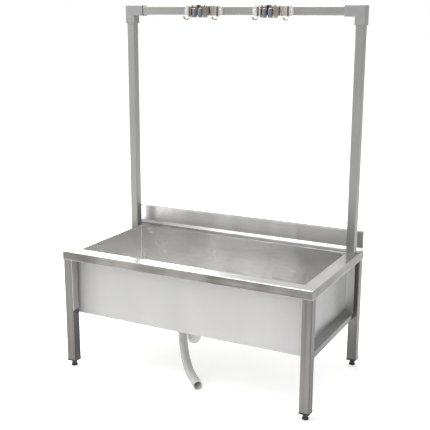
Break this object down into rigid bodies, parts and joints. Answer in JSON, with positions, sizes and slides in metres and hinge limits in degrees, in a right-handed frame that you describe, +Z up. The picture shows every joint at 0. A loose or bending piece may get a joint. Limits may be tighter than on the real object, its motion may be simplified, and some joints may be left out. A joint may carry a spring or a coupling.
{
  "type": "mop sink",
  "caption": "Floor-standing stainless mop and wash sink with one deep basin, backsplash, drain hose and an overhead arch that carries tool holders.",
  "frame": {"origin": "on the floor, under the centre of the deck", "axes": "+Z up, +X to the right of a person who stands in front of the sink, -Y towards that person"},
  "size_m": [1.1, 0.6, 1.5016],
  "materials": {
    "stainless_sheet": "brushed along each sheet",
    "stainless_tank": "soft brushed, slightly clouded",
    "stainless_leg": "brushed along the tube",
    "arch_tube": "satin anodised grey",
    "elbow_grey": "fine-grained grey moulding",
    "black_plastic": "moulded black",
    "holder_steel": "satin stamped steel",
    "hook_steel": "bright formed strap",
    "zinc_steel": "zinc plated",
    "roller_rubber": "blue-grey rubber",
    "spring_black": "black coated wire",
    "gasket_rubber": "black rubber",
    "trap_plastic": "pale grey moulding",
    "hose_plastic": "pale grey corrugated plastic"
  },
  "bodies": {
    "sink": {"backsplash": "stainless_sheet", "basin_floor": "stainless_tank", "basin_front": "stainless_tank", "basin_left": "stainless_tank", "basin_rear": "stainless_tank", "basin_right": "stainless_tank", "corner_elbow_left": "elbow_grey", "corner_elbow_right": "elbow_grey", "deck": "stainless_sheet", "drain_gasket": "gasket_rubber", "drain_hose": "hose_plastic", "drain_lock_nut": "zinc_steel", "drain_tail": "zinc_steel", "elbow_screws": "zinc_steel", "gripper_pins_1": "zinc_steel", "gripper_pins_2": "zinc_steel", "gripper_saddle_1": "holder_steel", "gripper_saddle_2": "holder_steel", "gripper_spring_1": "spring_black", "gripper_spring_2": "spring_black", "holder_plate_1": "holder_steel", "holder_plate_2": "holder_steel", "holder_screws_1": "zinc_steel", "holder_screws_2": "zinc_steel", "hooks_1": "hook_steel", "hooks_2": "hook_steel", "hose_collar": "trap_plastic", "leg_front_left": "stainless_leg", "leg_front_right": "stainless_leg", "leg_plug_front_left": "black_plastic", "leg_plug_front_right": "black_plastic", "leg_plug_rear_left": "black_plastic", "leg_plug_rear_right": "black_plastic", "leg_rear_left": "stainless_leg", "leg_rear_right": "stainless_leg", "post_bolts": "zinc_steel", "post_inserts": "black_plastic", "post_left": "arch_tube", "post_right": "arch_tube", "side_panel_left": "stainless_sheet", "side_panel_right": "stainless_sheet", "strainer": "holder_steel", "top_bar": "arch_tube", "trap_body": "trap_plastic", "trap_cup": "trap_plastic", "trap_elbow": "trap_plastic"},
    "foot_front_left": {"foot_front_left": "black_plastic"},
    "foot_front_right": {"foot_front_right": "black_plastic"},
    "foot_rear_left": {"foot_rear_left": "black_plastic"},
    "foot_rear_right": {"foot_rear_right": "black_plastic"},
    "gripper_arm_1_left": {"gripper_arm_1_left": "holder_steel"},
    "gripper_roller_1_left": {"gripper_roller_1_left": "roller_rubber"},
    "gripper_arm_1_right": {"gripper_arm_1_right": "holder_steel"},
    "gripper_roller_1_right": {"gripper_roller_1_right": "roller_rubber"},
    "gripper_arm_2_left": {"gripper_arm_2_left": "holder_steel"},
    "gripper_roller_2_left": {"gripper_roller_2_left": "roller_rubber"},
    "gripper_arm_2_right": {"gripper_arm_2_right": "holder_steel"},
    "gripper_roller_2_right": {"gripper_roller_2_right": "roller_rubber"}
  },
  "joints": [
    {"name": "foot_front_left_thread", "type": "slide", "parent": "sink", "child": "foot_front_left", "axis": [0, 0, -1], "range_m": [-0.003, 0.02]},
    {"name": "foot_front_right_thread", "type": "slide", "parent": "sink", "child": "foot_front_right", "axis": [0, 0, -1], "range_m": [-0.003, 0.02]},
    {"name": "foot_rear_left_thread", "type": "slide", "parent": "sink", "child": "foot_rear_left", "axis": [0, 0, -1], "range_m": [-0.003, 0.02]},
    {"name": "foot_rear_right_thread", "type": "slide", "parent": "sink", "child": "foot_rear_right", "axis": [0, 0, -1], "range_m": [-0.003, 0.02]},
    {"name": "gripper_arm_1_left_swing", "type": "hinge", "parent": "sink", "child": "gripper_arm_1_left", "pos_m": [-0.1835, 0.194, 1.4785], "axis": [0, 0, -1], "range_deg": [0, 22], "stiffness_Nm_per_rad": 1.5, "springref_deg": -11.46},
    {"name": "gripper_roller_1_left_spin", "type": "hinge", "parent": "gripper_arm_1_left", "child": "gripper_roller_1_left", "pos_m": [-0.17, 0.15, 1.4695], "axis": [0, 0, 1], "continuous": true},
    {"name": "gripper_arm_1_right_swing", "type": "hinge", "parent": "sink", "child": "gripper_arm_1_right", "pos_m": [-0.1315, 0.194, 1.4785], "axis": [0, 0, 1], "range_deg": [0, 22], "stiffness_Nm_per_rad": 1.5, "springref_deg": -11.46},
    {"name": "gripper_roller_1_right_spin", "type": "hinge", "parent": "gripper_arm_1_right", "child": "gripper_roller_1_right", "pos_m": [-0.145, 0.15, 1.4695], "axis": [0, 0, 1], "continuous": true},
    {"name": "gripper_arm_2_left_swing", "type": "hinge", "parent": "sink", "child": "gripper_arm_2_left", "pos_m": [0.1315, 0.194, 1.4785], "axis": [0, 0, -1], "range_deg": [0, 22], "stiffness_Nm_per_rad": 1.5, "springref_deg": -11.46},
    {"name": "gripper_roller_2_left_spin", "type": "hinge", "parent": "gripper_arm_2_left", "child": "gripper_roller_2_left", "pos_m": [0.145, 0.15, 1.4695], "axis": [0, 0, 1], "continuous": true},
    {"name": "gripper_arm_2_right_swing", "type": "hinge", "parent": "sink", "child": "gripper_arm_2_right", "pos_m": [0.1835, 0.194, 1.4785], "axis": [0, 0, 1], "range_deg": [0, 22], "stiffness_Nm_per_rad": 1.5, "springref_deg": -11.46},
    {"name": "gripper_roller_2_right_spin", "type": "hinge", "parent": "gripper_arm_2_right", "child": "gripper_roller_2_right", "pos_m": [0.17, 0.15, 1.4695], "axis": [0, 0, 1], "continuous": true}
  ]
}
